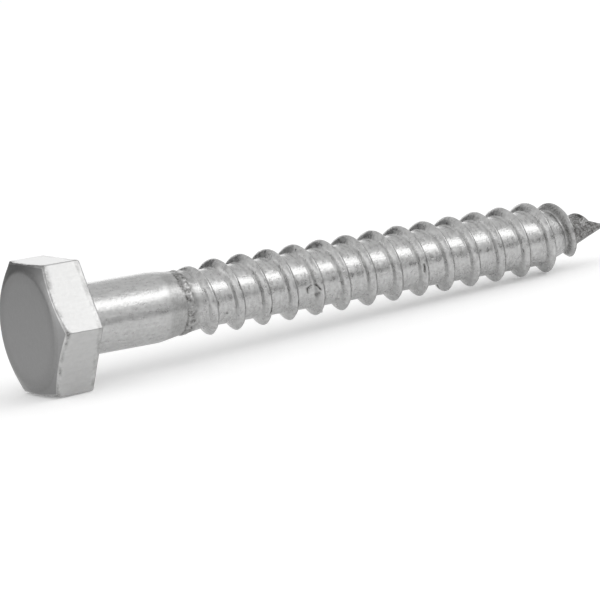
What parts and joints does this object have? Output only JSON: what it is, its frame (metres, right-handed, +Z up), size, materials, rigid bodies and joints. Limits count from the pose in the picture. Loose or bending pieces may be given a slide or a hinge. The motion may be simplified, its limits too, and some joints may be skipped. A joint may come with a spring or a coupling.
{
  "type": "coach screw",
  "caption": "Hexagon head coach screw with a plain shank, a coarse right-hand wood thread and a gimlet point, for fixing brackets and timber with a spanner.",
  "frame": {"origin": "centre of the bounding box's base: the screw lies at rest on Z = 0, on one flat of its head and one thread crest", "axes": "+X along the screw from head to point, dipping 2.9 degrees as it lies; +Y across it; +Z up"},
  "size_m": [0.056, 0.0126, 0.0111],
  "materials": {
    "bright_steel": "satin, bare and uncoated, with rolled and drawn marks"
  },
  "bodies": {
    "root": {"coach_screw": "bright_steel"}
  },
  "joints": []
}
